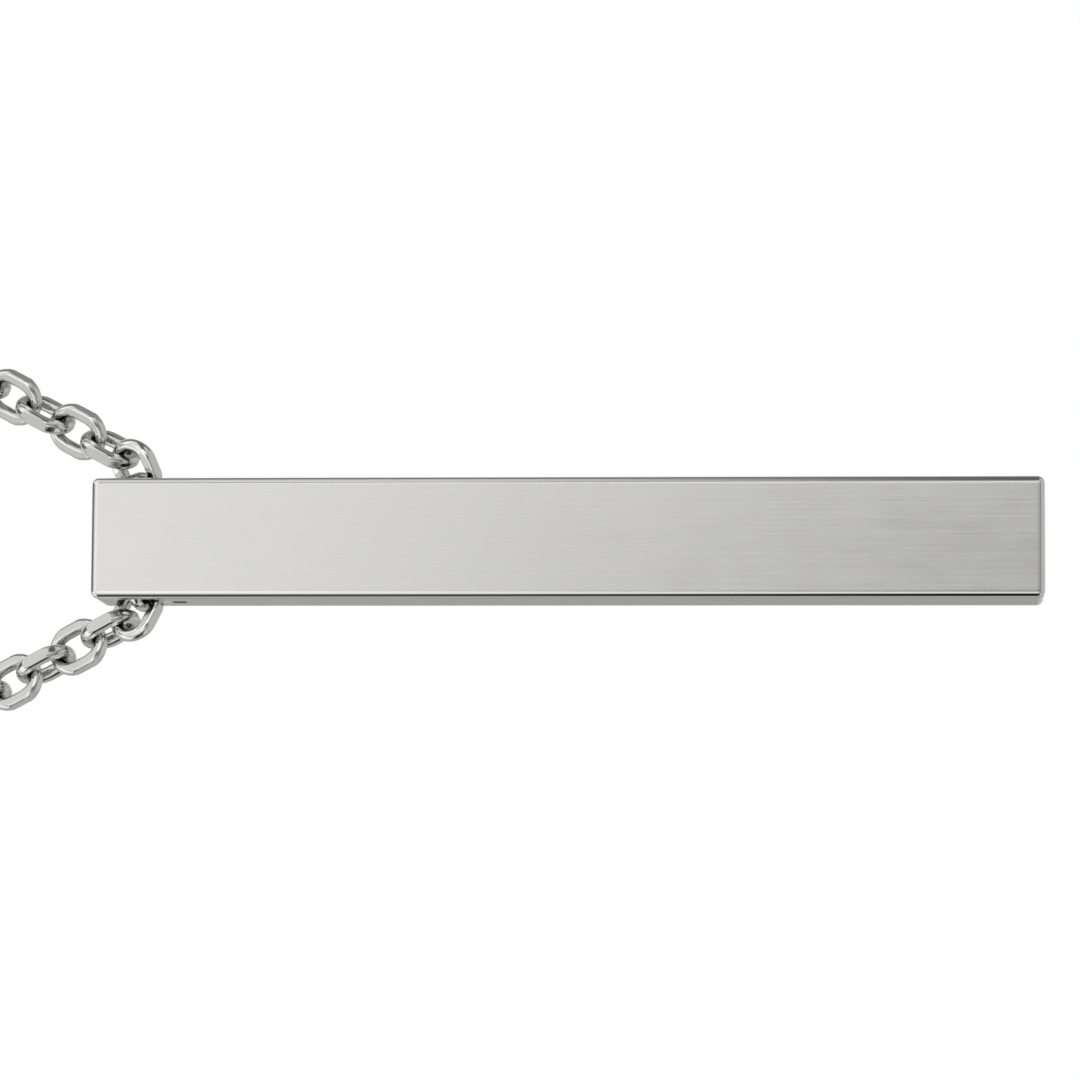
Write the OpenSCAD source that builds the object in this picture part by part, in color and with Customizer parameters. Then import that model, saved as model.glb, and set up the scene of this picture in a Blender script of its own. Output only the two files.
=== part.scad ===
// Bar pendant on a fine cable chain.
// The bar hangs upright; the chain runs through a cross hole near its top end,
// rises from both sides in a V, and goes round the back of the neck to a clasp.
// +Z is up, the bar's broad face looks along -Y, and the origin is the middle
// of the opening for the neck.

/* [Bar] */
// Length of the bar, top end to bottom end
bar_length = 40; // [25:0.5:60]
// Width of the bar's front face
bar_width = 5.1; // [4.6:0.1:5.1]
// Thickness of the bar, front to back
bar_thickness = 4; // [3:0.1:6]
// Radius of the polished edges
edge_radius = 0.3; // [0.1:0.05:0.5]
// Turn of the bar about its own length, in degrees
bar_turn = 6; // [4:0.5:8]

/* [Cross hole] */
// Metal left between the hole and the bar's top end
top_wall = 0.8; // [0.5:0.1:2]
// Room between a link in the hole and the hole's wall, all round
hole_clearance = 0.05; // [0.05:0.005:0.2]
// Width of the bevel round each mouth of the hole
mouth_bevel = 0.1; // [0.05:0.01:0.2]

/* [Blank stamp] */
// Length of the plain shallow groove where a stamp would be
stamp_length = 0.58; // [0.3:0.02:1]
// Width of the groove
stamp_width = 0.65; // [0.3:0.05:1]
// Depth of the groove
stamp_depth = 0.05; // [0.02:0.01:0.1]
// Metal between the hole's edge and the groove
stamp_gap = 0.15; // [0.12:0.01:0.6]

/* [Chain] */
// Diameter of the links' wire
wire = 0.5; // [0.44:0.01:0.51]
// Outer width of a link
link_width = 2.12; // [2.09:0.01:2.15]
// Distance from one link to the next along the chain
link_pitch = 1.64; // [1.62:0.01:1.66]
// Play between one link's end and the next link's
link_play = 0.2; // [0.17:0.01:0.23]
// Links on each side of the middle one that are made one by one
front_links = 24; // [8:1:30]
// Diameter of the plain tube that stands for the rest of the chain
tube_diameter = 2.1; // [1.4:0.1:2.6]
// Gap between the tube and what it runs up to
tube_gap = 0.25; // [0.15:0.05:0.4]

/* [Clasp] */
// Length of the clasp's barrel
clasp_length = 8; // [5:0.5:12]
// Diameter of the barrel
clasp_diameter = 3.2; // [2.4:0.1:4]
// Radius of the barrel's rounded ends
clasp_rounding = 0.8; // [0.4:0.1:1]
// Outer diameter of the eye at each end
eye_diameter = 2.8; // [2.4:0.1:3.6]
// Diameter of the eye's wire
eye_wire = 0.6; // [0.5:0.05:0.8]

/* [Hidden] */

eps = 0.01;

// The cross hole takes a link of full width, and sits a wall below the top end.
hole_diameter = link_width + 2 * hole_clearance;
hole_drop = top_wall + hole_diameter / 2;

// A link is a ring of round wire with two straight sides and two half-round ends.
link_length = link_pitch + link_play + 2 * wire;
bend_radius = (link_width - wire) / 2;
side_length = link_length - link_width;

// Places in the worn position, in millimetres.
hole_centre = [0, -50.2, -121.8];
clasp_centre = [0, 56, 26];
clasp_reach = clasp_length / 2 + eye_diameter - eye_wire;

// Poses of the links that bend from the hole into the strand, measured from the
// hole's centre: [middle of the link, its direction, its roll in degrees].
MIDDLE_ROLL = -65;
RIGHT_BEND = [
    [[1.631, 0.173, 0.006], [0.994, 0.106, 0.007], 54.6],
    [[3.11, 0.031, 0.255], [0.916, -0.206, 0.346], -61]];
LEFT_BEND = [
    [[-1.625, -0.2, -0.067], [-0.987, -0.139, -0.081], 156.5],
    [[-2.957, -0.452, 0.171], [-0.872, -0.269, 0.409], -117]];

// Where each straight strand starts, from the hole's centre, and the two rolls
// that its links take by turns.
STRAND_START = [[3.56, 0.3, 0.68], [-3.34, -0.19, 0.6]];
STRAND_ROLLS = [43, -47];

// Route of the right half of the chain above the V: the strand's top, the side
// of the neck, and the nape. The left half is its mirror image.
STRAND_TOP = [53.1, -31.5, -27];
NECK_ROUTE = [
    [58.5, -21, -9], [62, -4, 3], [60.5, 14.5, 10.5], [52, 32, 16.5],
    [39.5, 45.5, 21], [23.5, 53, 24.5]];
strand_spans = 3;
rings_per_span = 4;
tube_sides = 8;

function unit(v) = v / norm(v);
function mirrored(v) = [-v[0], v[1], v[2]];

// Directions across a path: level, and square to both.
function level_of(u) = unit(cross(u, [0, 0, 1]));
function across(u, roll) =
    let (level = level_of(u)) cos(roll) * level + sin(roll) * cross(level, u);

// One smooth span of a curve through four points, at t from 0 to 1.
function span_point(a, b, c, d, t) =
    0.5 * (2 * b + (c - a) * t + (2 * a - 5 * b + 4 * c - d) * t * t
        + (3 * b - a - 3 * c + d) * t * t * t);

// The same curve through a whole list, with its ends carried straight on.
function smooth_path(p, steps) =
    let (n = len(p), q = concat([2 * p[0] - p[1]], p, [2 * p[n - 1] - p[n - 2]]))
    concat(
        [for (i = [0:n - 2]) for (s = [0:steps - 1])
            span_point(q[i], q[i + 1], q[i + 2], q[i + 3], s / steps)],
        [p[n - 1]]);

function path_direction(p, i) = unit(p[min(i + 1, len(p) - 1)] - p[max(i - 1, 0)]);

// A strand's start, top and direction, where its single links end, and the
// route of the tube above them.
function strand_start(left) = hole_centre + STRAND_START[left ? 1 : 0];
function strand_top(left) = left ? mirrored(STRAND_TOP) : STRAND_TOP;
function strand_direction(left) = unit(strand_top(left) - strand_start(left));
function links_end(left) =
    strand_start(left) + strand_direction(left)
        * ((front_links - 2) * link_pitch + (link_length - link_pitch) / 2 + tube_gap);
function tube_route(left) =
    let (low = links_end(left), top = strand_top(left))
    concat(
        [for (i = [0:strand_spans - 1]) low + (top - low) * i / strand_spans],
        [top],
        [for (p = NECK_ROUTE) left ? mirrored(p) : p],
        [clasp_centre + [(left ? -1 : 1) * (clasp_reach + tube_gap), 0, 0]]);

// A rectangle with rounded corners, its middle at the origin.
module rounded_rectangle(size, radius) {
    square([size[0] - 2 * radius, size[1]], center = true);
    square([size[0], size[1] - 2 * radius], center = true);
    for (x = [-1, 1], y = [-1, 1])
        translate([x * (size[0] / 2 - radius), y * (size[1] / 2 - radius)])
            circle(r = radius, $fn = 48);
}

// A block with all its edges rounded, its middle at the origin.
module rounded_block(size, radius) {
    intersection() {
        linear_extrude(size[2], center = true)
            rounded_rectangle([size[0], size[1]], radius);
        rotate([90, 0, 90])
            linear_extrude(size[0], center = true)
                rounded_rectangle([size[1], size[2]], radius);
        rotate([90, 0, 0])
            linear_extrude(size[1], center = true)
                rounded_rectangle([size[0], size[2]], radius);
    }
}

// The cross hole along X, with a bevel at each mouth.
module cross_hole() {
    rotate([0, 90, 0])
        cylinder(d = hole_diameter, h = bar_width + 1, center = true, $fn = 96);
    for (side = [-1, 1])
        translate([side * (bar_width / 2 + eps), 0, 0])
            rotate([0, -90 * side, 0])
                cylinder(d1 = hole_diameter + 2 * mouth_bevel, d2 = hole_diameter,
                    h = mouth_bevel, $fn = 96);
}

// The plain groove on the bar's left side, below the hole.
module stamp_groove() {
    translate([-bar_width / 2, 0,
               -hole_diameter / 2 - mouth_bevel - stamp_gap - stamp_length / 2])
        cube([2 * stamp_depth, stamp_width, stamp_length], center = true);
}

module bar() {
    color("silver")
        translate(hole_centre)
            rotate([0, 0, bar_turn])
                difference() {
                    translate([0, 0, hole_drop - bar_length / 2])
                        rounded_block([bar_width, bar_thickness, bar_length], edge_radius);
                    cross_hole();
                    stamp_groove();
                }
}

// One link lying flat: its length along X, its width along Y.
module link() {
    for (turn = [0, 180])
        rotate([0, 0, turn]) {
            translate([side_length / 2, 0, 0])
                rotate([0, 0, -90])
                    rotate_extrude(angle = 180, $fn = 64)
                        translate([bend_radius, 0])
                            circle(d = wire, $fn = 32);
            translate([-side_length / 2, bend_radius, 0])
                rotate([0, 90, 0])
                    cylinder(d = wire, h = side_length, $fn = 32);
        }
}

// A link with its middle at a point, its length along a direction.
module placed_link(middle, direction, roll) {
    u = unit(direction);
    w = across(u, roll);
    v = cross(u, w);
    multmatrix([
        [u[0], w[0], v[0], middle[0]],
        [u[1], w[1], v[1], middle[1]],
        [u[2], w[2], v[2], middle[2]],
        [0, 0, 0, 1]])
        link();
}

module strand(left) {
    start = strand_start(left);
    direction = strand_direction(left);
    for (k = [3:front_links]) {
        middle = start + direction * link_pitch * (k - 2.5);
        roll = STRAND_ROLLS[(k + 1) % 2];
        placed_link(middle, direction, left ? 180 - roll : roll);
    }
}

// The links by the bar: one in the middle of the hole, two on each side that
// bend out of it, and the straight strands of the V.
module chain_front() {
    color("gainsboro") {
        placed_link(hole_centre, [cos(bar_turn), sin(bar_turn), 0], MIDDLE_ROLL);
        for (bend = concat(RIGHT_BEND, LEFT_BEND))
            placed_link(hole_centre + bend[0], bend[1], bend[2]);
        for (left = [false, true])
            strand(left);
    }
}

// A round tube swept along a list of points.
module swept_tube(path, diameter) {
    last = len(path) - 1;
    rings = [for (i = [0:last])
        let (u = path_direction(path, i))
        for (s = [0:tube_sides - 1])
            path[i] + diameter / 2 * across(u, 360 * s / tube_sides)];
    walls = [for (i = [0:last - 1]) for (s = [0:tube_sides - 1])
        let (a = i * tube_sides + s, b = i * tube_sides + (s + 1) % tube_sides)
        each [[a, a + tube_sides, b + tube_sides], [a, b + tube_sides, b]]];
    polyhedron(
        rings,
        concat(
            [[for (s = [0:tube_sides - 1]) s]],
            walls,
            [[for (s = [tube_sides - 1:-1:0]) last * tube_sides + s]]));
}

// The rest of the chain on both sides, up to the clasp.
module chain_back() {
    color("gainsboro")
        for (left = [false, true])
            swept_tube(smooth_path(tube_route(left), rings_per_span), tube_diameter);
}

// A plain barrel with an eye at each end for the chain's last link.
module clasp() {
    color("silver")
        translate(clasp_centre) {
            rotate([0, 90, 0])
                rotate_extrude($fn = 64)
                    intersection() {
                        rounded_rectangle([clasp_diameter, clasp_length], clasp_rounding);
                        translate([0, -clasp_length])
                            square([clasp_diameter, 2 * clasp_length]);
                    }
            for (side = [-1, 1])
                translate([side * (clasp_length / 2 + eye_diameter / 2 - eye_wire), 0, 0])
                    rotate_extrude($fn = 64)
                        translate([(eye_diameter - eye_wire) / 2, 0])
                            circle(d = eye_wire, $fn = 32);
        }
}

bar();
chain_front();
chain_back();
clasp();
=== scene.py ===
import math

import bmesh
import bpy
from mathutils import Matrix, Vector


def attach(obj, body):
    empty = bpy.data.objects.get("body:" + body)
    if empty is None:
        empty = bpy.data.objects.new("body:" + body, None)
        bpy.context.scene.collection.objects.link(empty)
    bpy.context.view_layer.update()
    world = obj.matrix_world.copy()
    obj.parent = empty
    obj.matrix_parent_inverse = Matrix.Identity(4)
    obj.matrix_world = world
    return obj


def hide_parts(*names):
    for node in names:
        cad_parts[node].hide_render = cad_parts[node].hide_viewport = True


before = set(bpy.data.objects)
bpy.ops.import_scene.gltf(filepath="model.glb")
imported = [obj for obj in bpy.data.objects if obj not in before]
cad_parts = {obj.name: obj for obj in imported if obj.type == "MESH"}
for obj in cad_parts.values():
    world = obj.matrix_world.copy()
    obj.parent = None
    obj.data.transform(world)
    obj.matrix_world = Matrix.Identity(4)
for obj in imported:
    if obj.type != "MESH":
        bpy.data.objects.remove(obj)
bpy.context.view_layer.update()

MM = 0.001

# Sizes in millimetres.
BAR_LENGTH = 40.0
BAR_WIDTH = 5.1
BAR_THICKNESS = 4.0
BAR_TURN = 6.0
EDGE_RADIUS = 0.3
HOLE_RADIUS = 1.11
HOLE_DROP = 1.91
MOUTH_BEVEL = 0.1
STAMP_LENGTH = 0.58
STAMP_WIDTH = 0.65
STAMP_DEPTH = 0.05
STAMP_GAP = 0.15

LINK_PITCH = 1.64
LINK_BEND = 0.843
LINK_SIDE = 0.5
FRONT_LINKS = 24

HOLE_CENTRE = Vector((0, -50.2, -121.8))
CLASP_CENTRE = Vector((0, 56, 26))

# The links that bend out of the hole: middle from the hole's centre, direction, roll.
# The left link in the mouth and both strands stand 0.04 mm off their solids' places.
MIDDLE_ROLL = -65
RIGHT_BEND = [
    ((1.631, 0.173, 0.006), (0.994, 0.106, 0.007), 54.6),
    ((3.11, 0.031, 0.255), (0.916, -0.206, 0.346), -61),
]
LEFT_BEND = [
    ((-1.61, -0.185, -0.037), (-0.987, -0.139, -0.081), 156.5),
    ((-2.957, -0.452, 0.171), (-0.872, -0.269, 0.409), -117),
]
STRAND_START = [(3.58, 0.3, 0.715), (-3.32, -0.19, 0.635)]
STRAND_ROLLS = (43, -47)
STRAND_TOP = Vector((53.1, -31.5, -27))
NECK_ROUTE = [
    (58.5, -21, -9),
    (62, -4, 3),
    (60.5, 14.5, 10.5),
    (52, 32, 16.5),
    (39.5, 45.5, 21),
    (23.5, 53, 24.5),
]
LINK_OVERHANG = 0.6
TUBE_GAP = 0.25
TUBE_START = 22 * LINK_PITCH + LINK_OVERHANG + TUBE_GAP
ROUTE_END_REACH = 6.45
LAST_LINK_REACH = 6.405

# How far from a link's middle its flats are cut: outside, and on the sides.
OUTER_FLAT = 1.07
SIDE_FLAT = 0.292

# The photograph's camera: its turn in degrees, its distance and its focal length.
CAMERA_TILT = -3.93
CAMERA_ROLL = 0.085
CAMERA_DISTANCE = 228.7
CAMERA_SIDEWAYS = 0.071
CAMERA_ALONG = 1.179
FOCAL_PIXELS = 5422
FRAME_PIXELS = 1080
SENSOR_WIDTH = 36

FLOOR_RADIUS = 300
FLOOR_LEVEL = -480


class Value:
    """A shader value that takes part in ordinary sums."""

    def __init__(self, tree, socket):
        self.tree = tree
        self.socket = socket

    def sum(self, operation, *terms):
        node = self.tree.node("ShaderNodeMath", {"operation": operation}, dict(enumerate(terms)))
        return node[0]

    def __add__(self, other):
        return self.sum("ADD", self, other)

    def __radd__(self, other):
        return self.sum("ADD", other, self)

    def __sub__(self, other):
        return self.sum("SUBTRACT", self, other)

    def __rsub__(self, other):
        return self.sum("SUBTRACT", other, self)

    def __mul__(self, other):
        return self.sum("MULTIPLY", self, other)

    def __truediv__(self, other):
        return self.sum("DIVIDE", self, other)

    def __pow__(self, other):
        return self.sum("POWER", self, other)

    def __neg__(self):
        return self.sum("MULTIPLY", self, -1)

    def __abs__(self):
        return self.sum("ABSOLUTE", self)

    def clipped(self):
        return self.sum("MINIMUM", self.sum("MAXIMUM", self, 0), 1)

    def largest(self, other):
        return self.sum("MAXIMUM", self, other)

    def step(self, low, high):
        """0 below low and 1 above high, with an even rise between them."""
        return ((self - low) / (high - low)).clipped()


class Outputs:
    """A node's outputs, by number or by name."""

    def __init__(self, tree, node):
        self.tree = tree
        self.node = node

    def __getitem__(self, key):
        return Value(self.tree, self.node.outputs[key])


class Shader:
    """A node tree that is filled from the back: each call adds one node."""

    def __init__(self, tree):
        self.tree = tree
        tree.nodes.clear()

    def node(self, kind, settings=None, inputs=None):
        node = self.tree.nodes.new(kind)
        for key, value in (settings or {}).items():
            if key == "stops":
                self.set_stops(node.color_ramp, value)
            else:
                setattr(node, key, value)
        for key, value in (inputs or {}).items():
            if isinstance(value, Value):
                self.tree.links.new(value.socket, node.inputs[key])
            else:
                node.inputs[key].default_value = value
        return Outputs(self, node)

    def set_stops(self, ramp, stops):
        while len(ramp.elements) < len(stops):
            ramp.elements.new(1.0)
        for element, (place, colour) in zip(ramp.elements, stops):
            element.position = place
            element.color = (*colour, 1) if isinstance(colour, tuple) else (colour,) * 3 + (1,)

    def split(self, vector):
        parts = self.node("ShaderNodeSeparateXYZ", None, {0: vector})
        return parts[0], parts[1], parts[2]

    def join(self, x, y, z):
        return self.node("ShaderNodeCombineXYZ", None, {0: x, 1: y, 2: z})[0]

    def place(self, kind="Object"):
        return self.node("ShaderNodeTexCoord")[kind]

    def noise(self, vector, scale, detail=2.0, roughness=0.5):
        inputs = {"Vector": vector, "Scale": scale, "Detail": detail, "Roughness": roughness}
        return self.node("ShaderNodeTexNoise", None, inputs)["Fac"]

    def ramp(self, value, stops):
        return self.node("ShaderNodeValToRGB", {"stops": stops}, {"Fac": value})["Color"]

    def mix(self, share, a, b):
        settings = {"data_type": "RGBA"}
        return self.node("ShaderNodeMix", settings, {0: share, 6: a, 7: b})[2]

    def bump(self, height, strength, distance):
        inputs = {"Height": height, "Strength": strength, "Distance": distance}
        return self.node("ShaderNodeBump", None, inputs)["Normal"]


def new_finish(name):
    finish = bpy.data.materials.new(name)
    finish.use_nodes = True
    return finish, Shader(finish.node_tree)


def finish_metal(shader, colour, roughness, normal):
    inputs = {"Base Color": colour, "Metallic": 1.0, "Roughness": roughness, "Normal": normal}
    metal = shader.node("ShaderNodeBsdfPrincipled", None, inputs)
    shader.node("ShaderNodeOutputMaterial", None, {"Surface": metal[0]})


def brushed_silver():
    """Satin faces brushed along the bar's length, with polished edges and bore."""
    finish, shader = new_finish("brushed_silver")
    x, y, z = shader.split(shader.place())
    facing_x, facing_y, facing_z = shader.split(shader.place("Normal"))
    flat = abs(facing_x).largest(abs(facing_y)).largest(abs(facing_z))
    satin = flat.step(math.cos(math.radians(11)), math.cos(math.radians(4)))
    across = abs(facing_x).step(0.6, 0.8)
    side = x + (y - x) * across
    brushing = shader.join(side * 7000, z * 140, facing_z * 3)
    lines = shader.noise(brushing, 1.0, 3.0, 0.6)
    broad = shader.noise(shader.join(side * 1500, z * 60, facing_z * 3), 1.0, 2.0)
    cloud = shader.noise(shader.join(x * 700, y * 700, z * 400), 1.0, 3.0)
    marks = (lines - 0.5) * 0.6 + (broad - 0.5) * 0.4
    tone = 0.5 + marks * 0.7 + (cloud - 0.5) * 0.6
    dull = shader.mix(tone.clipped(), (0.66, 0.655, 0.645, 1), (0.74, 0.735, 0.73, 1))
    colour = shader.mix(satin, (0.86, 0.855, 0.845, 1), dull)
    roughness = 0.1 + satin * (0.17 + marks * 0.1 + (cloud - 0.5) * 0.08)
    normal = shader.bump(lines * satin, 0.12, 0.00002)
    finish_metal(shader, colour, roughness, normal)
    return finish


def polished_silver(name, rough=0.12):
    """Polished silver with faint wheel marks, a little dulling, and painted shade on the inner sides
    of the links.
    """
    finish, shader = new_finish(name)
    x, y, z = shader.split(shader.place())
    spots = shader.noise(shader.join(x * 900, y * 900, z * 900), 1.0, 3.0)
    hairs = shader.noise(shader.join(x * 6000, y * 6000, z * 2500), 1.0, 2.0, 0.6)
    wear = spots.step(0.35, 0.75)
    colour = shader.mix(wear * 0.6, (0.86, 0.86, 0.85, 1), (0.74, 0.735, 0.72, 1))
    # Painted shade: the link attribute darkens the inner sides of the wire towards near-black.
    recess = shader.node("ShaderNodeAttribute", {"attribute_name": "recess"})["Fac"]
    colour = shader.mix(recess.step(0.15, 0.85), colour, (0.11, 0.105, 0.1, 1))
    roughness = rough + wear * 0.04 + (hairs - 0.5) * 0.03
    normal = shader.bump(hairs, 0.015, 0.00001)
    finish_metal(shader, colour, roughness, normal)
    return finish


def painted_shade_groove():
    """Painted shade: near-black rough metal for the stamp groove, standing in for the shade inside
    it.
    """
    finish, shader = new_finish("painted_shade_groove")
    x, y, z = shader.split(shader.place())
    grain = shader.noise(shader.join(x * 20000, y * 20000, z * 9000), 1.0, 3.0)
    colour = shader.mix(grain, (0.05, 0.048, 0.045, 1), (0.14, 0.135, 0.13, 1))
    roughness = 0.5 + (grain - 0.5) * 0.3
    normal = shader.bump(grain, 0.3, 0.00001)
    finish_metal(shader, colour, roughness, normal)
    return finish


def left_to_right(point):
    return Vector((-point[0], point[1], point[2]))


def link_place(middle, direction, roll):
    """The matrix that lays a flat link along a direction, turned by its roll."""
    along = Vector(direction).normalized()
    level = along.cross(Vector((0, 0, 1))).normalized()
    turn = math.radians(roll)
    wide = math.cos(turn) * level + math.sin(turn) * level.cross(along)
    columns = (along, wide, along.cross(wide), Vector(middle))
    place = Matrix.Identity(4)
    for column, axis in enumerate(columns):
        for row in range(3):
            place[row][column] = axis[row]
    return place


def strand(left):
    """Where a straight strand starts and ends, and its direction."""
    start = HOLE_CENTRE + Vector(STRAND_START[1 if left else 0])
    top = left_to_right(STRAND_TOP) if left else STRAND_TOP
    return start, top, (top - start).normalized()


def span_point(a, b, c, d, t):
    """A point of the smooth span between b and c."""
    straight = 2 * b + (c - a) * t
    bent = (2 * a - 5 * b + 4 * c - d) * t * t + (3 * b - a - 3 * c + d) * t * t * t
    return 0.5 * (straight + bent)


def neck_path(left, steps=60):
    """Close points along one half of the chain above the V, up to the clasp."""
    start, top, direction = strand(left)
    low = start + direction * TUBE_START
    side = -1 if left else 1
    points = [low + (top - low) * (i / 3) for i in range(3)] + [top]
    points += [left_to_right(p) if left else Vector(p) for p in NECK_ROUTE]
    points.append(CLASP_CENTRE + Vector((side * ROUTE_END_REACH, 0, 0)))
    knots = [2 * points[0] - points[1], *points, 2 * points[-1] - points[-2]]
    path = [start + direction * (21 * LINK_PITCH)]
    for i in range(len(points) - 1):
        path += [span_point(*knots[i:i + 4], s / steps) for s in range(steps)]
    path.append(points[-1])
    path.append(points[-1] + (points[-1] - path[-2]).normalized() * 3)
    return path


class Route:
    """Points at a given length along a path."""

    def __init__(self, path):
        self.path = path
        self.run = [0.0]
        for a, b in zip(path, path[1:]):
            self.run.append(self.run[-1] + (b - a).length)

    def at(self, length):
        low = 0
        high = len(self.run) - 2
        while low < high:
            middle = (low + high + 1) // 2
            if self.run[middle] <= length:
                low = middle
            else:
                high = middle - 1
        step = self.run[low + 1] - self.run[low]
        return self.path[low].lerp(self.path[low + 1], (length - self.run[low]) / step)

    def length_to(self, point):
        near = min(range(len(self.path)), key=lambda i: (self.path[i] - point).length)
        return self.run[near]


def front_places():
    """Places of the middle link, the bends and the straight strands."""
    turn = math.radians(BAR_TURN)
    places = [link_place(HOLE_CENTRE, (math.cos(turn), math.sin(turn), 0), MIDDLE_ROLL)]
    for offset, direction, roll in RIGHT_BEND + LEFT_BEND:
        places.append(link_place(HOLE_CENTRE + Vector(offset), direction, roll))
    for left in (False, True):
        start, _, direction = strand(left)
        for k in range(3, FRONT_LINKS + 1):
            roll = STRAND_ROLLS[(k + 1) % 2]
            middle = start + direction * LINK_PITCH * (k - 2.5)
            places.append(link_place(middle, direction, 180 - roll if left else roll))
    return places


def back_places(left):
    """Places of the links from the V round to the clasp's eye.

    They turn slowly about the chain, so that the last link stands square to the eye.
    """
    route = Route(neck_path(left))
    first = LINK_PITCH * 0.5
    side = -1 if left else 1
    last = route.length_to(CLASP_CENTRE + Vector((side * LAST_LINK_REACH, 0, 0)))
    count = round((last - first) / LINK_PITCH)
    pitch = (last - first) / count
    half = LINK_PITCH / 2
    last_roll = STRAND_ROLLS[(FRONT_LINKS + count + 1) % 2]
    turn = 90 - last_roll if last_roll > 0 else -90 - last_roll
    places = []
    for i in range(1, count + 1):
        length = first + pitch * i
        behind = route.at(length - half)
        ahead = route.at(length + half)
        share = i / count
        ease = share * share * (3 - 2 * share)
        roll = STRAND_ROLLS[(FRONT_LINKS + i + 1) % 2] + turn * ease
        middle = (behind + ahead) / 2
        places.append(link_place(middle, ahead - behind, 180 - roll if left else roll))
    return places


def cut_flat(work, point, normal):
    """Cuts a flat across the metal and marks its rim as a crisp edge."""
    everything = work.verts[:] + work.edges[:] + work.faces[:]
    cut = bmesh.ops.bisect_plane(
        work, geom=everything, dist=1e-7, plane_co=point, plane_no=normal, clear_outer=True
    )
    rim = [part for part in cut["geom_cut"] if isinstance(part, bmesh.types.BMEdge)]
    bmesh.ops.holes_fill(work, edges=rim, sides=0)
    for edge in rim:
        edge.smooth = False


def squared(share, power):
    """A part of a rounded square's outline, from the same part of a circle's."""
    return math.copysign(abs(share) ** power, share)


def link_shape(fine):
    """One link lying along X: round wire with flats cut on its outer sides.

    Each leg has a flat outside and one on each side. Towards the bar a flat band follows
    the bend, and the other end stays round.
    """
    bend_steps = 14 if fine else 7
    slices = 28 if fine else 14
    bends = [90 * i / bend_steps for i in range(bend_steps + 1)]
    stations = []
    for end in (1, -1):
        stations += [(end, end * (bend - 90), bend) for bend in bends]
        stations += [(end, end * (90 - bend), bend) for bend in reversed(bends[:-1])]
    work = bmesh.new()
    recess = work.verts.layers.float.new("recess")
    rings = []
    for end, turn, bend in stations:
        angle = math.radians(turn * end)
        share = min(max((bend - 15) / 40, 0), 1)
        middle = LINK_BEND + 0.005 * share
        power = 0.88 + 0.12 * share
        if end > 0:
            out_radius = 0.29 - 0.028 * share
            side_radius = 0.316 - 0.036 * share
            limit = 2
        else:
            out_radius = 0.29 + (0.02 - 0.035 * share if bend > 0 else 0)
            side_radius = 0.316 - 0.016 * share
            limit = 1.125 - 0.02 * share
        ring = []
        for s in range(slices):
            around = math.tau * (s + 0.5) / slices
            out = min(middle + out_radius * squared(math.cos(around), power), limit)
            x = end * (LINK_SIDE / 2 + out * math.cos(angle))
            y = end * out * math.sin(angle)
            z = side_radius * squared(math.sin(around), power)
            vert = work.verts.new((x, y, z))
            # Painted shade: how much the inner side of the wire is darkened, most round the bends.
            vert[recess] = max(-math.cos(around), 0) * (0.35 + 0.65 * share)
            ring.append(vert)
        rings.append(ring)
    for a, b in zip(rings, rings[1:] + rings[:1]):
        for s in range(slices):
            t = (s + 1) % slices
            work.faces.new((a[s], a[t], b[t], b[s]))
    bmesh.ops.recalc_face_normals(work, faces=work.faces)
    for side in (-1, 1):
        cut_flat(work, (0, side * OUTER_FLAT, 0), (0, side, 0))
        cut_flat(work, (0, 0, side * SIDE_FLAT), (0, 0, side))
    bmesh.ops.recalc_face_normals(work, faces=work.faces)
    mesh = bpy.data.meshes.new("link")
    work.to_mesh(mesh)
    work.free()
    return mesh


def make_chain(name, places, fine, finish):
    """A run of equal links as one mesh, with their crisp edges kept."""
    link = link_shape(fine)
    link.polygons.foreach_set("use_smooth", [True] * len(link.polygons))
    run = bmesh.new()
    for place in places:
        first = len(run.verts)
        run.from_mesh(link)
        run.verts.ensure_lookup_table()
        bmesh.ops.transform(run, matrix=place, verts=run.verts[first:])
    bmesh.ops.scale(run, vec=(MM, MM, MM), verts=run.verts)
    mesh = bpy.data.meshes.new(name)
    run.to_mesh(mesh)
    run.free()
    mesh.materials.append(finish)
    bpy.data.meshes.remove(link)
    piece = bpy.data.objects.new(name, mesh)
    bpy.context.scene.collection.objects.link(piece)
    return piece


def make_piece(name, verts, faces, finishes, face_finish=None, sharp=27):
    """A named mesh in metres, from points in millimetres."""
    mesh = bpy.data.meshes.new(name)
    mesh.from_pydata([tuple(c * MM for c in v) for v in verts], [], faces)
    for finish in finishes:
        mesh.materials.append(finish)
    if face_finish:
        mesh.polygons.foreach_set("material_index", face_finish)
    work = bmesh.new()
    work.from_mesh(mesh)
    bmesh.ops.remove_doubles(work, verts=work.verts, dist=1e-8)
    bmesh.ops.recalc_face_normals(work, faces=work.faces)
    work.to_mesh(mesh)
    work.free()
    mesh.polygons.foreach_set("use_smooth", [True] * len(mesh.polygons))
    mesh.set_sharp_from_angle(angle=math.radians(sharp))
    piece = bpy.data.objects.new(name, mesh)
    bpy.context.scene.collection.objects.link(piece)
    return piece


def edge_curve(steps=14):
    """The polished edge between two faces, from one face to the other.

    It is a round of the edge's radius that eases into the faces. Returns offsets from
    the corner of the core, and how far the edge reaches along each face.
    """
    angles = [45 * (1 - math.cos(math.pi * i / steps)) for i in range(steps + 1)]
    x = 0.0
    y = 0.0
    points = [(x, y)]
    for low, high in zip(angles, angles[1:]):
        middle = (low + high) / 2
        off = min(middle, 90 - middle)
        radius = EDGE_RADIUS * (0.95 + 1.4 * math.exp(-((off / 7) ** 2)))
        arc = radius * math.radians(high - low)
        x += arc * math.cos(math.radians(middle))
        y += arc * math.sin(math.radians(middle))
        points.append((x, y))
    reach = (x + y) / 2
    return [(reach - py, px) for px, py in points], reach


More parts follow.
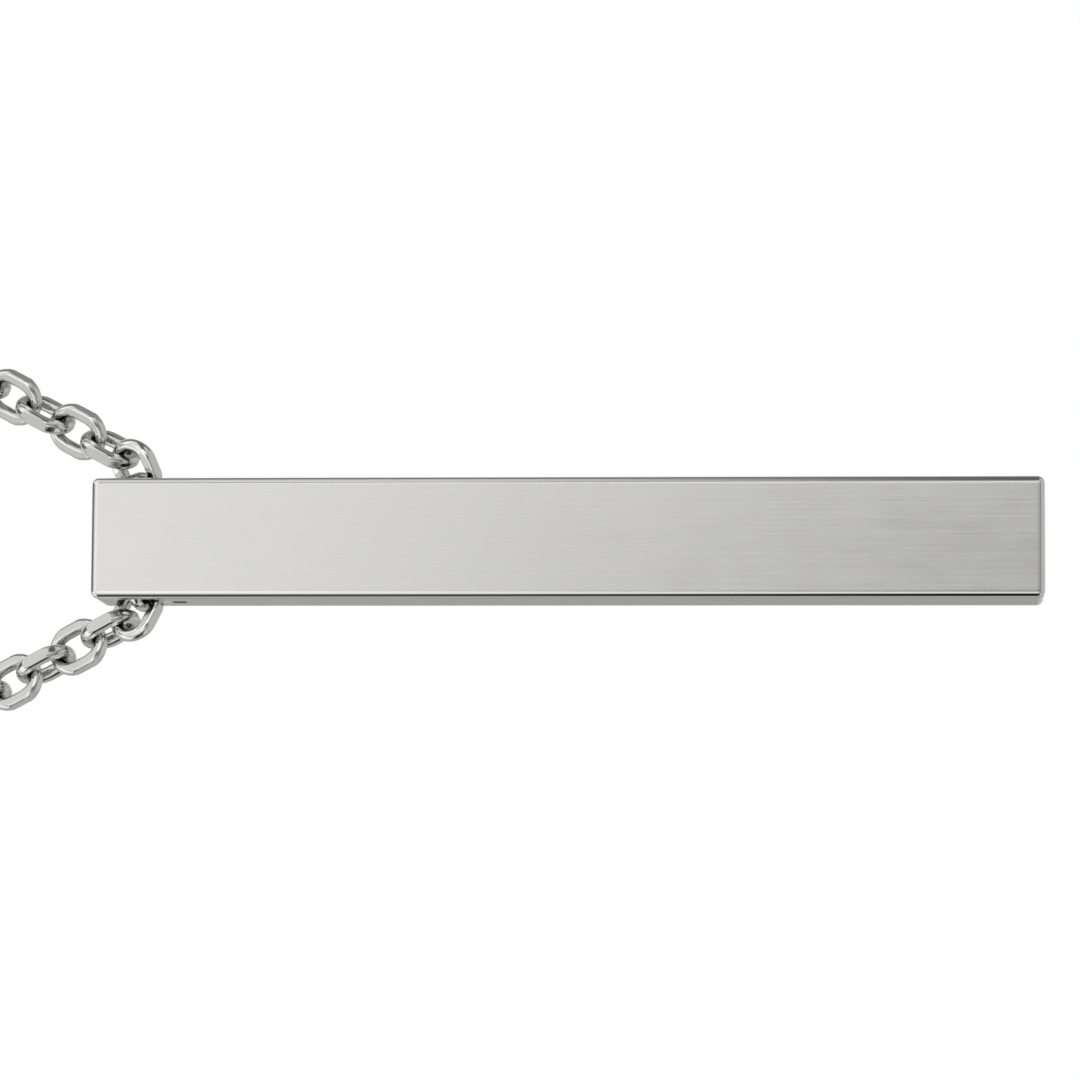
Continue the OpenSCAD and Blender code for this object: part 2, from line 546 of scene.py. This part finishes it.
def make_bar(satin, recess):
    """The bar about its hole's centre: rounded edges, cross hole and plain groove."""
    curve, reach = edge_curve()
    steps = len(curve)
    x_core = BAR_WIDTH / 2 - reach
    y_core = BAR_THICKNESS / 2 - reach
    top = HOLE_DROP
    bottom = HOLE_DROP - BAR_LENGTH
    verts = []
    faces = []
    finishes = []

    def add_face(face, finish=0):
        faces.append(tuple(face))
        finishes.append(finish)

    def add_vert(*point):
        verts.append(point)
        return len(verts) - 1

    def outline(scale, z):
        ring = []
        for sx, sy in ((1, 1), (-1, 1), (-1, -1), (1, -1)):
            corner = curve if sx * sy > 0 else list(reversed(curve))
            for a, b in corner:
                ring.append(add_vert(sx * (x_core + scale * a), sy * (y_core + scale * b), z))
        return ring

    groove_low = -HOLE_RADIUS - MOUTH_BEVEL - STAMP_GAP - STAMP_LENGTH
    groove_high = groove_low + STAMP_LENGTH
    patch_low = groove_high + STAMP_GAP / 2
    rings = [outline(a / reach, bottom + reach - b) for a, b in reversed(curve)]
    straight_first = len(rings) - 1
    rings += [outline(1, z) for z in (groove_low, groove_high, patch_low)]
    rings += [outline(a / reach, top - reach + b) for a, b in curve]
    straight_last = straight_first + 4
    around = len(rings[0])
    right_flat = around - 1
    left_flat = 2 * steps - 1

    for r in range(len(rings) - 1):
        straight = straight_first <= r < straight_last
        for i in range(around):
            if straight and i in (right_flat, left_flat):
                continue
            j = (i + 1) % around
            add_face((rings[r][i], rings[r][j], rings[r + 1][j], rings[r + 1][i]))
    corners = [0, steps, 2 * steps, 3 * steps]
    add_face(rings[0][i] for i in corners)
    add_face(rings[-1][i] for i in corners)

    slices = 96
    mouths = []
    for side in (-1, 1):
        mouth = []
        for out, radius in ((0, 1.0), (0.35, 0.35), (1.0, 0.0)):
            x = side * (BAR_WIDTH / 2 - MOUTH_BEVEL * out)
            r = HOLE_RADIUS + MOUTH_BEVEL * radius
            mouth.append([
                add_vert(x, r * math.cos(math.tau * s / slices), r * math.sin(math.tau * s / slices))
                for s in range(slices)
            ])
        for a, b in zip(mouth, mouth[1:]):
            for s in range(slices):
                t = (s + 1) % slices
                add_face((a[s], a[t], b[t], b[s]))
        mouths.append(mouth)
        index = right_flat if side > 0 else left_flat
        front = [rings[r][index] for r in range(straight_first, straight_last + 1)]
        back = [rings[r][(index + 1) % around] for r in range(straight_first, straight_last + 1)]
        if verts[front[0]][1] > verts[back[0]][1]:
            front, back = back, front
        box = [front[3], back[3], back[4], front[4]]
        turns = [
            round(math.atan2(verts[v][2], verts[v][1]) / math.tau * slices) % slices for v in box
        ]
        for c in range(4):
            d = (c + 1) % 4
            arc = [turns[d]]
            while arc[-1] != turns[c]:
                arc.append((arc[-1] - 1) % slices)
            add_face([box[c], box[d]] + [mouth[0][s] for s in arc])
        if side > 0:
            for r in range(3):
                add_face((front[r], back[r], back[r + 1], front[r + 1]))
            continue
        half = STAMP_WIDTH / 2
        rim = [
            [add_vert(-BAR_WIDTH / 2, y, z) for y in (-half, half)]
            for z in (groove_low, groove_high)
        ]
        floor = [
            [add_vert(-BAR_WIDTH / 2 + STAMP_DEPTH, y * 0.8, z) for y in (-half, half)]
            for z in (groove_low + 0.01, groove_high - 0.01)
        ]
        add_face((front[0], back[0], back[1], rim[0][1], rim[0][0], front[1]))
        add_face((front[1], rim[0][0], rim[1][0], front[2]))
        add_face((rim[0][1], back[1], back[2], rim[1][1]))
        add_face((front[2], rim[1][0], rim[1][1], back[2], back[3], front[3]))
        rim_loop = [rim[0][0], rim[0][1], rim[1][1], rim[1][0]]
        floor_loop = [floor[0][0], floor[0][1], floor[1][1], floor[1][0]]
        # The groove's walls and floor take finish 1, the painted shade.
        for c in range(4):
            d = (c + 1) % 4
            add_face((rim_loop[c], rim_loop[d], floor_loop[d], floor_loop[c]), 1)
        add_face(floor_loop, 1)
    for s in range(slices):
        t = (s + 1) % slices
        add_face((mouths[0][-1][s], mouths[0][-1][t], mouths[1][-1][t], mouths[1][-1][s]))

    # Finish 1 is the groove's painted shade.
    piece = make_piece("brushed_bar", verts, faces, [satin, recess], finishes, 20)
    piece.matrix_world = Matrix.Translation(HOLE_CENTRE * MM) @ Matrix.Rotation(
        math.radians(BAR_TURN), 4, "Z"
    )
    return piece


def make_camera():
    """The photograph's camera: level with the bar's lower end, looking a little up."""
    bar_middle = HOLE_CENTRE + Vector((0, 0, HOLE_DROP - BAR_LENGTH / 2))
    tilt = math.radians(CAMERA_TILT)
    roll = math.radians(CAMERA_ROLL)
    up_screen = Vector((0, math.sin(tilt), math.cos(tilt)))
    across = Vector((1, 0, 0))
    depth = Vector((0, math.cos(tilt), -math.sin(tilt)))
    x_axis = math.cos(roll) * across - math.sin(roll) * up_screen
    z_axis = math.sin(roll) * across + math.cos(roll) * up_screen
    spot = bar_middle + CAMERA_SIDEWAYS * x_axis + CAMERA_ALONG * z_axis - CAMERA_DISTANCE * depth
    right = -z_axis
    up = x_axis
    back = -depth
    place = Matrix.Identity(4)
    for column, axis in enumerate((right, up, back, spot * MM)):
        for row in range(3):
            place[row][column] = axis[row]
    lens = bpy.data.cameras.new("camera")
    lens.sensor_width = SENSOR_WIDTH
    lens.lens = FOCAL_PIXELS / FRAME_PIXELS * SENSOR_WIDTH
    lens.clip_start = 0.01
    lens.clip_end = 20
    camera = bpy.data.objects.new("camera", lens)
    bpy.context.scene.collection.objects.link(camera)
    camera.matrix_world = place
    bpy.context.scene.camera = camera


def make_studio():
    """White surroundings for the eye, and soft light and dark zones for the metal to mirror.

    The zones are laid out by how far a direction is turned from the front, in degrees.
    Their light was set for the photograph's view, and it is uneven from the sides.
    """
    world = bpy.data.worlds.new("studio")
    bpy.context.scene.world = world
    world.use_nodes = True
    shader = Shader(world.node_tree)
    x, y, z = shader.split(shader.place("Generated"))
    off = (-y).sum("ARCCOSINE", -y) * (180 / math.pi)
    ring = (x * x + z * z + 0.0001) ** 0.5
    up = (z / ring).largest(0)
    down = (-z / ring).largest(0)

    def zone(*stops):
        return shader.ramp(off / 180, [(turn / 180, light) for turn, light in stops])

    def card(near, low, high, soft, share):
        """What a narrow dark card leaves of the light between two turns from the front."""
        inside = off.step(low - soft, low + soft) * off.step(high + soft, high - soft)
        return 1 - inside * near * share

    right = zone(
        (0, 0.5), (13, 0.5), (18, 1.3), (28, 1.2), (50, 0.9), (58, 0.6), (68, 1.0), (84, 1.0),
        (95, 0.28), (106, 0.17), (124, 0.2), (140, 0.45), (156, 0.75), (180, 0.8),
    )
    left = zone(
        (0, 0.7), (18, 0.9), (45, 0.75), (56, 0.35), (62, 0.45), (70, 1.0), (86, 1.0),
        (98, 0.5), (130, 0.46), (143, 0.22), (155, 0.42), (172, 0.44), (180, 0.7),
    )
    above = zone(
        (0, 0.6), (20, 0.9), (45, 1.0), (58, 0.72), (64, 0.8), (75, 1.2), (88, 1.1), (98, 0.5),
        (112, 0.4), (128, 0.6), (150, 0.8), (180, 0.8),
    )
    below = zone(
        (0, 0.35), (20, 0.16), (38, 0.3), (50, 0.15), (80, 0.15), (110, 0.4), (135, 0.4),
        (160, 0.6), (180, 0.7),
    )
    seen = shader.mix((x / ring).step(-0.3, 0.3), left, right)
    seen = shader.mix(up * up * up, seen, above)
    seen = shader.mix(down * down, seen, below)
    front = shader.ramp(z.step(-0.35, 0.35), [
        (0.0, 0.08), (0.42, 0.18), (0.52, 0.36), (0.7, 1.5), (1.0, 1.5),
    ])
    seen = shader.mix(off.step(20, 12), seen, front)
    level = abs(z - 0.08).step(0.24, 0.14)
    low = z.step(0.08, -0.02) * z.step(-0.5, -0.35)
    upright = abs(x - 0.1).step(0.26, 0.16)
    cards = card(level * x.step(0, -0.1), 52, 98, 4, 0.93)
    cards = cards * card(level * x.step(0, 0.1), 33, 43, 3, 0.7)
    cards = cards * card(level * x.step(0, 0.1), 62, 94, 4, 0.3)
    cards = cards * card(upright * z.step(0, 0.1), 70, 125, 5, 0.75)
    cards = cards * card(low, 42, 98, 6, 0.85)
    light = shader.node("ShaderNodeBackground", None, {"Color": seen, "Strength": cards})
    white = shader.node("ShaderNodeBackground", None, {"Color": (1, 1, 1, 1), "Strength": 1.0})
    eye = shader.node("ShaderNodeLightPath")["Is Camera Ray"]
    both = shader.node("ShaderNodeMixShader", None, {0: eye, 1: light[0], 2: white[0]})
    shader.node("ShaderNodeOutputWorld", None, {"Surface": both[0]})


def make_floor():
    """A plain pale disc, well below the bar."""
    finish, shader = new_finish("pale_floor")
    x, y, z = shader.split(shader.place())
    grain = shader.noise(shader.join(x * 400, y * 400, z * 400), 1.0, 3.0)
    colour = shader.mix(grain, (0.8, 0.8, 0.795, 1), (0.84, 0.84, 0.835, 1))
    inputs = {"Base Color": colour, "Roughness": 0.9}
    paint = shader.node("ShaderNodeBsdfPrincipled", None, inputs)
    shader.node("ShaderNodeOutputMaterial", None, {"Surface": paint[0]})
    slices = 96
    rim = [
        (
            FLOOR_RADIUS * math.cos(math.tau * s / slices),
            FLOOR_RADIUS * math.sin(math.tau * s / slices),
            FLOOR_LEVEL,
        )
        for s in range(slices)
    ]
    floor = make_piece("floor", rim, [tuple(range(slices))], [finish])


bpy.context.scene.view_settings.view_transform = "Standard"

satin = brushed_silver()
# Painted shade for the stamp groove.
recess = painted_shade_groove()
chain_silver = polished_silver("chain_silver")
clasp_silver = polished_silver("clasp_silver", rough=0.16)

bar = make_bar(satin, recess)
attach(bar, "pendant")
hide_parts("bar")

front_chain = make_chain("chain_of_the_v", front_places(), True, chain_silver)
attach(front_chain, "necklace")
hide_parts("chain_front")

for left, name in ((False, "chain_right_of_neck"), (True, "chain_left_of_neck")):
    back_chain = make_chain(name, back_places(left), False, chain_silver)
    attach(back_chain, "necklace")
    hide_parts("chain_back")

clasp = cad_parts["clasp"]
clasp.data.materials.clear()
clasp.data.materials.append(clasp_silver)

make_floor()
make_studio()
make_camera()
